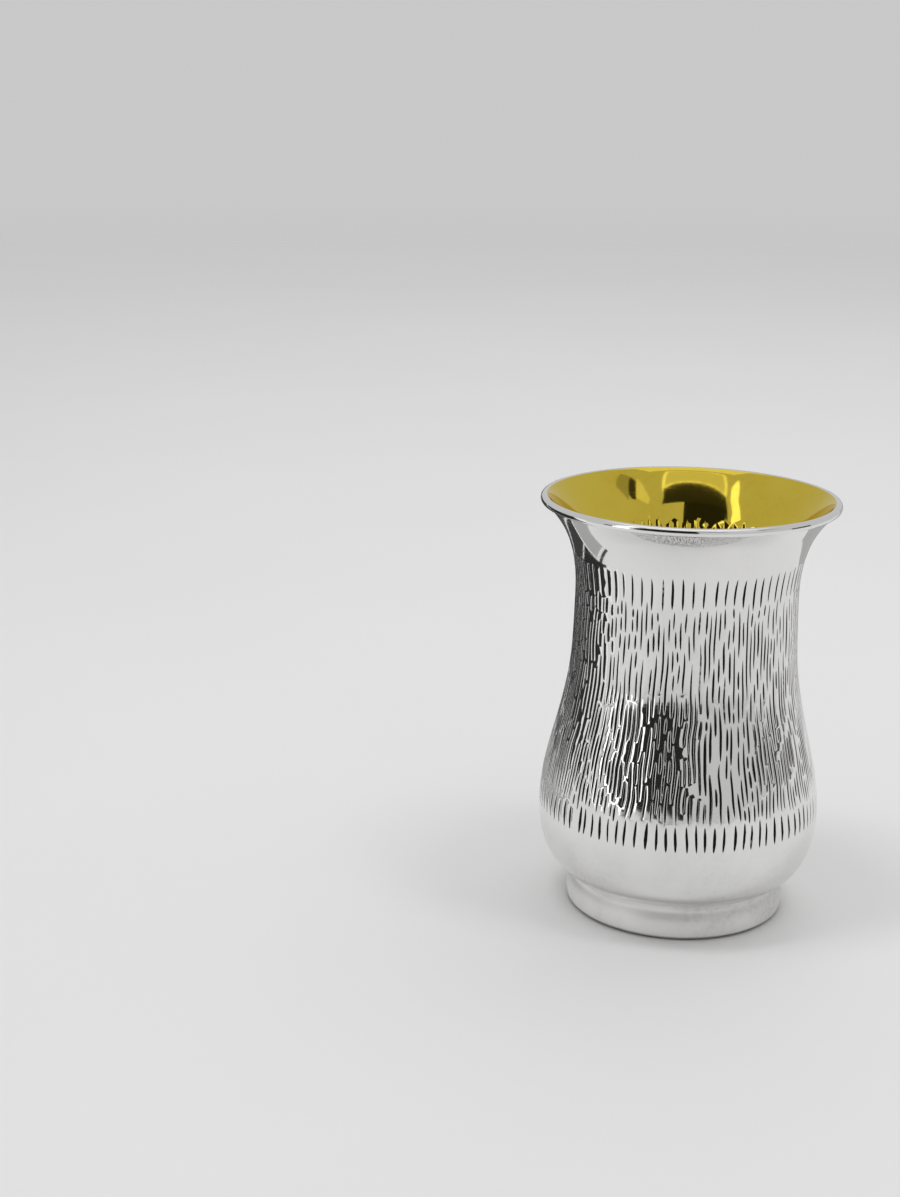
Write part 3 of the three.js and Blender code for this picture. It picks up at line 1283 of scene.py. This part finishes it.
# Upright cards: (name, tone, x from and to, y from and to, z from and to)
CARDS = (
    ("pale_panel", 0.74, -520, 380, -650, -650, 1010, 1500),
    ("panel_frame", 1.25, -580, 440, -655, -655, 980, 1560),
    ("grey_picture", 0.36, 450, 450, -40, -150, 470, 640),
    ("dark_picture", 0.04, 450, 450, -150, -225, 500, 640),
    ("pale_picture", 0.84, 450, 450, -225, -420, 540, 680),
    ("window_strip", 1.7, -450, -450, -430, -310, 60, 800),
    ("window_foot", 1.7, -448, -448, -475, -290, 0, 165),
    ("doorway", 0.02, -560, 80, -650, -650, 20, 680),
    ("doorway_head", 0.03, -560, 400, -650, -650, 680, 980),
    ("cabinet", 0.04, -1400, -930, -640, -640, 0, 380),
    ("shelf", 0.08, 450, 450, -90, 60, 20, 180),
)

# Curved screens: (name, tone, start and end in degrees clockwise from the cup's front, z from
# and to)
SCREENS = (
    ("bright_edge", 0.9, 70, 80, 26, TOP),
    ("dark_left", 0.03, 81, 118, 28, TOP),
    ("dark_left_behind", 0.05, 120, 142, 28, TOP),
    ("dark_behind", 0.08, 144, 172, 28, TOP),
    ("dark_edge_low", 0.05, 90, 94, 0, 28),
    ("grey_low", 0.4, 98, 172, 0, 26),
    ("grey_right", 0.26, 182, 206, 26, TOP),
    ("pale_right", 0.42, 206, 230, 26, TOP),
    ("fading_right_0", 0.4, 182, 189, 0, 26),
    ("fading_right_1", 0.47, 189, 196, 0, 26),
    ("fading_right_2", 0.54, 196, 203, 0, 26),
)


def lamp(name, watts, width, depth, place, target):
    """A soft rectangular light, which doesn't show in the silver."""
    data = bpy.data.lights.new(name, "AREA")
    data.shape, data.size, data.size_y = "RECTANGLE", width * MM, depth * MM
    data.energy = watts
    made = linked(name, data)
    made.location = Vector(place) * MM
    made.rotation_euler = (Vector(target) - Vector(place)).to_track_quat("-Z", "Y").to_euler()
    made.visible_camera = made.visible_glossy = False


def card(name, tone, corners):
    """A flat glowing card of a grey tone."""
    made = mesh_object(name, np.array(corners) * MM, [range(len(corners))])
    glow = bpy.data.materials.new(name)
    glow.use_nodes = True
    glow.node_tree.nodes.clear()
    light = field(glow.node_tree, "ShaderNodeEmission", {"Color": (tone, tone, tone, 1)})
    put(glow.node_tree, "ShaderNodeOutputMaterial", {"Surface": light})
    made.data.materials.append(glow)
    made.visible_camera = made.visible_diffuse = made.visible_shadow = False
    made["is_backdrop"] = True


def upright(x_from, x_to, y_from, y_to, low, high):
    """Corners of an upright rectangle."""
    ends = ((x_from, y_from), (x_to, y_to))
    return [(*end, low) for end in ends] + [(*end, high) for end in ends[::-1]]


world = bpy.data.worlds.new("studio")
world.use_nodes = True
world.node_tree.nodes["Background"].inputs["Color"].default_value = (ROOM_TONE,) * 3 + (1,)
bpy.context.scene.world = world

for settings in LAMPS:
    lamp(*settings)
card("ceiling", 0.95, [(-700, -520, 1500), (700, -520, 1500), (700, 700, 1500), (-700, 700, 1500)])
for name, tone, *sizes in CARDS:
    card(name, tone, upright(*sizes))
for name, tone, start, end, low, high in SCREENS:
    turns = [*range(start, end, SCREEN_STRIP), end]
    for number, (left, right) in enumerate(zip(turns, turns[1:])):
        edges = arc((0, 0), SCREEN_RADIUS, 270 - left, 270 - right, 2)
        card(f"{name}_{number}", tone, upright(*edges[:, 0], *edges[:, 1], low, high))


# ---- Camera ----

CAMERA_PLACE = (0, -391.9, 174.4)
CAMERA_TURN, CAMERA_TILT, CAMERA_ROLL = 7.30, 15.42, 0.65  # degrees to its left, down and over
CAMERA_LENS = 57.47

camera = linked("camera", bpy.data.cameras.new("camera"))
camera.matrix_world = (
    Matrix.Translation(Vector(CAMERA_PLACE) * MM)
    @ Matrix.Rotation(math.radians(CAMERA_TURN), 4, "Z")
    @ Matrix.Rotation(math.radians(90 - CAMERA_TILT), 4, "X")
    @ Matrix.Rotation(math.radians(CAMERA_ROLL), 4, "Z")
)
camera.data.lens = CAMERA_LENS
camera.data.clip_start, camera.data.clip_end = 0.01, 20
bpy.context.scene.camera = camera
bpy.context.scene.view_settings.view_transform = "Standard"

low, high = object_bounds()
